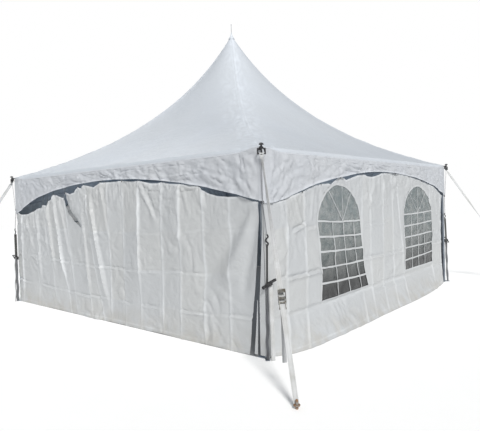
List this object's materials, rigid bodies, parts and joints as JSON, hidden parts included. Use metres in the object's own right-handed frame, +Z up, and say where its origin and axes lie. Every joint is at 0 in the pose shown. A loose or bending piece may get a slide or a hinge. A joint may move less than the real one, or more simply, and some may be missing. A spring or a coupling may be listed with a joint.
{
  "type": "marquee tent",
  "caption": "Square high-peak frame marquee with arched valances, hung vinyl walls, arched windows, corner legs and strap guys.",
  "frame": {"origin": "on the ground at the middle of the tent", "axes": "+Z up, -Y out of the plain front wall, +X out of the right wall with the two arched windows"},
  "size_m": [8.558, 8.458, 5.32],
  "materials": {
    "roof_vinyl": "coated white vinyl, satin",
    "valance_vinyl": "coated white vinyl, creased",
    "wall_vinyl": "thin white vinyl with fold creases",
    "clear_vinyl": "clear flexible window vinyl",
    "alloy_tube": "mill finish round tube",
    "black_steel": "black painted steel",
    "tie_steel": "dark webbing with black steel buckle and ratchet",
    "ratchet_steel": "plated steel ratchet, dulled",
    "steel_cable": "galvanised wire rope",
    "peak_vinyl": "white vinyl boot over the peak",
    "white_webbing": "woven polyester webbing",
    "stake_steel": "weathered rusty steel"
  },
  "bodies": {
    "root": {"roof_canopy": "roof_vinyl", "valance_front": "valance_vinyl", "valance_right": "valance_vinyl", "valance_back": "valance_vinyl", "valance_left": "valance_vinyl", "wall_front": "wall_vinyl", "wall_right": "wall_vinyl", "wall_back": "wall_vinyl", "wall_left": "wall_vinyl", "window_right_1": "clear_vinyl", "window_right_2": "clear_vinyl", "window_left_1": "clear_vinyl", "window_left_2": "clear_vinyl", "leg_front_right": "alloy_tube", "leg_back_right": "alloy_tube", "leg_back_left": "alloy_tube", "leg_front_left": "alloy_tube", "corner_fitting_front_right": "black_steel", "corner_fitting_back_right": "black_steel", "corner_fitting_back_left": "black_steel", "corner_fitting_front_left": "black_steel", "eave_rail_front": "alloy_tube", "eave_rail_right": "alloy_tube", "eave_rail_back": "alloy_tube", "eave_rail_left": "alloy_tube", "mast": "alloy_tube", "cross_cables": "steel_cable", "peak_cap": "peak_vinyl", "corner_tie_front_right": "tie_steel", "corner_tie_back_right": "tie_steel", "corner_tie_back_left": "tie_steel", "corner_tie_front_left": "tie_steel", "tie_tail_front_right": "white_webbing", "tie_tail_back_right": "white_webbing", "tie_tail_back_left": "white_webbing", "tie_tail_front_left": "white_webbing", "guy_strap_front_right": "white_webbing", "guy_strap_back_right": "white_webbing", "guy_strap_back_left": "white_webbing", "guy_strap_front_left": "white_webbing", "guy_ratchet_front_right": "ratchet_steel", "guy_ratchet_back_right": "ratchet_steel", "guy_ratchet_back_left": "ratchet_steel", "guy_ratchet_front_left": "ratchet_steel", "guy_tail_front_right": "white_webbing", "guy_tail_back_right": "white_webbing", "guy_tail_back_left": "white_webbing", "guy_tail_front_left": "white_webbing", "guy_stake_front_right": "stake_steel", "guy_stake_back_right": "stake_steel", "guy_stake_back_left": "stake_steel", "guy_stake_front_left": "stake_steel"}
  },
  "joints": []
}
